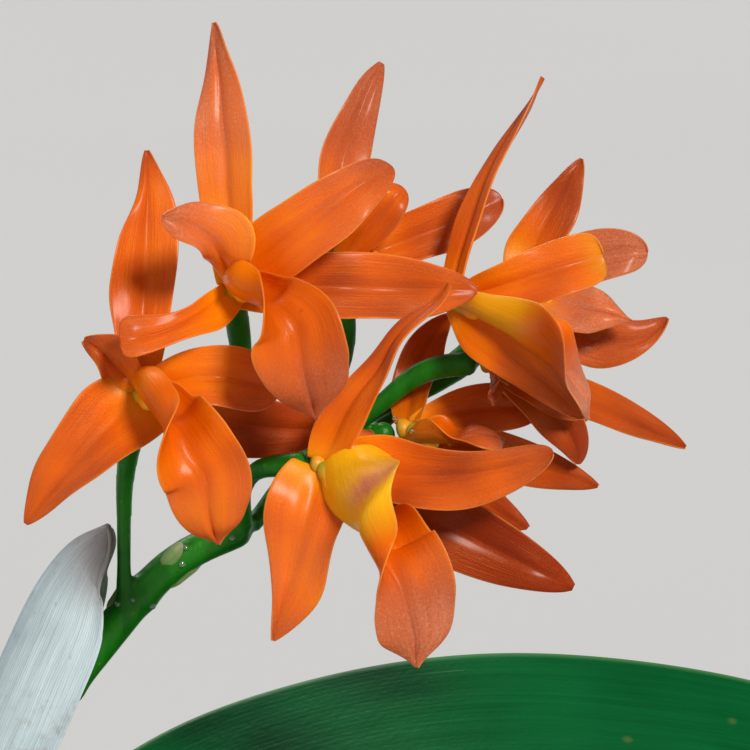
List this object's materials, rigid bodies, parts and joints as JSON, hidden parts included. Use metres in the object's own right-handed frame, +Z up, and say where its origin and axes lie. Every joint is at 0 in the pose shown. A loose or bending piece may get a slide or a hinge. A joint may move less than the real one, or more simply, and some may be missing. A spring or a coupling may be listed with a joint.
{
  "type": "potted orchid in flower",
  "caption": "Potted guarianthe orchid with tall canes, leathery leaves and a stalk bearing a head of orange flowers above a clay pot of bark.",
  "frame": {"origin": "middle of the pot's foot, on the surface that the pot stands on", "axes": "+Z up through the pot and along the plant's height, -Y towards the side the picture is taken from, +X to the picture's right"},
  "size_m": [0.2652, 0.2272, 0.3324],
  "materials": {
    "clay": "matte",
    "bark": "matte",
    "root": "matte",
    "cane": "satin",
    "dry_sheath": "matte",
    "leaf": "satin",
    "stalk": "satin",
    "petal": "satin"
  },
  "bodies": {
    "root": {"pot": "clay", "bark_mix": "bark", "rhizome_and_roots": "root", "cane_5_oldest": "cane", "cane_4": "cane", "cane_3": "cane", "cane_2": "cane", "cane_1_flowering": "cane", "sleeve_5": "dry_sheath", "sleeve_4": "dry_sheath", "sleeve_3": "dry_sheath", "sleeve_2": "dry_sheath", "sleeve_1": "dry_sheath", "leaf_1_right": "leaf", "leaf_1_left": "leaf", "leaf_2_left": "leaf", "leaf_2_right": "leaf", "leaf_3_front": "leaf", "leaf_3_back": "leaf", "leaf_4_front": "leaf", "leaf_4_back": "leaf", "flower_stalk": "stalk", "flower_sheath": "dry_sheath", "bloom_1_upper_left": "petal", "bloom_2_left": "petal", "bloom_3_lower_middle": "petal", "bloom_4_right": "petal", "bloom_5_top": "petal", "bloom_6_right_back": "petal", "bloom_7_lower_right": "petal", "bloom_8_far_right": "petal"}
  },
  "joints": []
}
